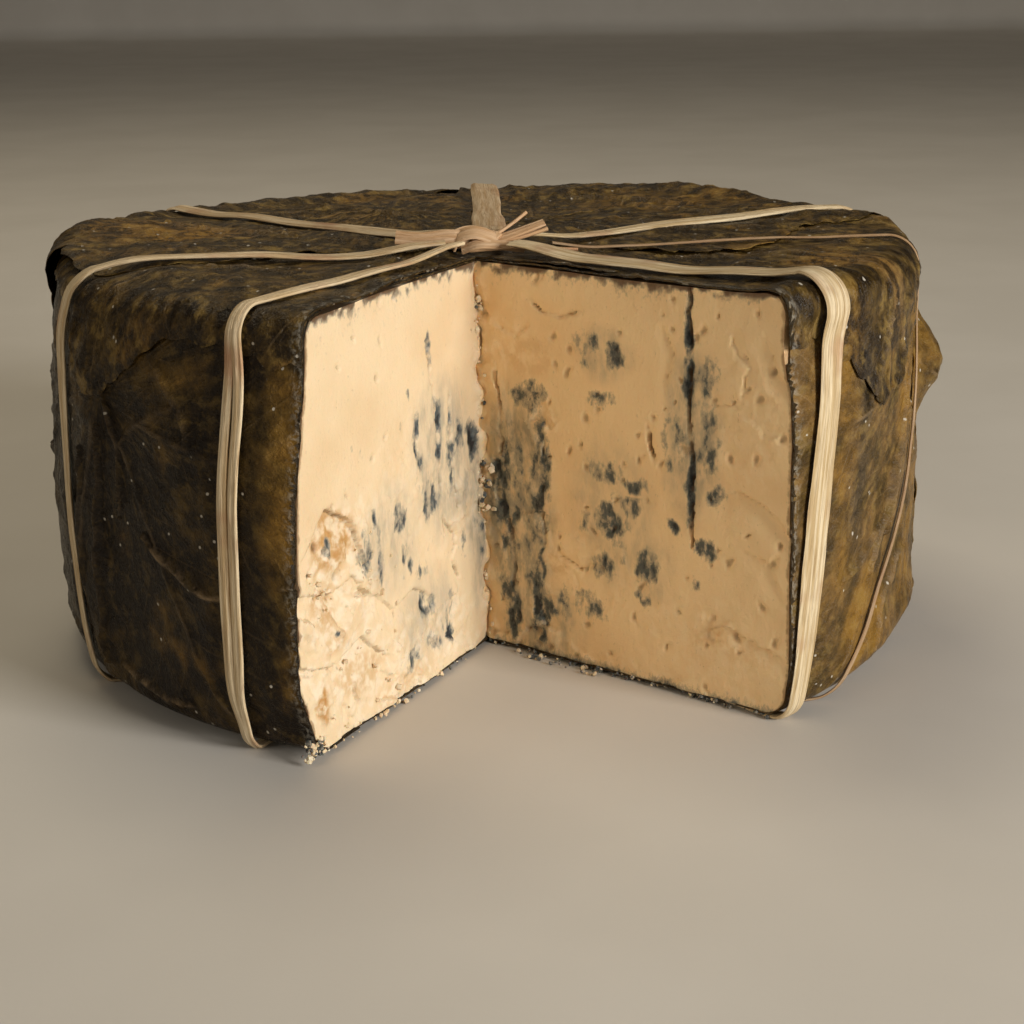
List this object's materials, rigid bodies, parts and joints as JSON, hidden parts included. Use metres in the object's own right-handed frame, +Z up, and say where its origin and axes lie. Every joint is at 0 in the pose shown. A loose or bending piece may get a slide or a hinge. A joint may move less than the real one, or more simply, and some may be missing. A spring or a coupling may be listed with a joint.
{
  "type": "leaf-wrapped blue cheese wheel with a wedge cut out",
  "caption": "Squat wheel of blue cheese wrapped in overlapping vine leaves and tied with raffia, with a wedge-shaped cut that shows the veined paste.",
  "frame": {"origin": "where the wheel's own axis meets the surface it stands on", "axes": "+Z up along the wheel's axis, -Y towards the cut, +X to the right of someone who looks into the cut"},
  "size_m": [0.1968, 0.1873, 0.0979],
  "materials": {
    "paste": "cut blue cheese, waxy and crumbly, with blue-green mould veins",
    "vine_leaf": "soaked vine leaf, dark olive brown, semi-gloss, veined and creased",
    "raffia": "dry raffia, pale straw, fibrous"
  },
  "bodies": {
    "root": {"cheese_paste": "paste", "leaf_base": "vine_leaf", "leaf_side_left": "vine_leaf", "leaf_side_back": "vine_leaf", "leaf_side_front_right": "vine_leaf", "leaf_side_front_left": "vine_leaf", "leaf_side_back_left": "vine_leaf", "leaf_side_back_right": "vine_leaf", "leaf_top_back_left": "vine_leaf", "leaf_top_front_right": "vine_leaf", "leaf_top_back_right": "vine_leaf", "leaf_top_front_left": "vine_leaf", "raffia_back": "raffia", "raffia_back_left": "raffia", "raffia_left": "raffia", "raffia_front_left": "raffia", "raffia_front_right": "raffia", "raffia_right": "raffia", "raffia_back_right": "raffia", "raffia_knot": "raffia", "raffia_crossing": "raffia"}
  },
  "joints": []
}
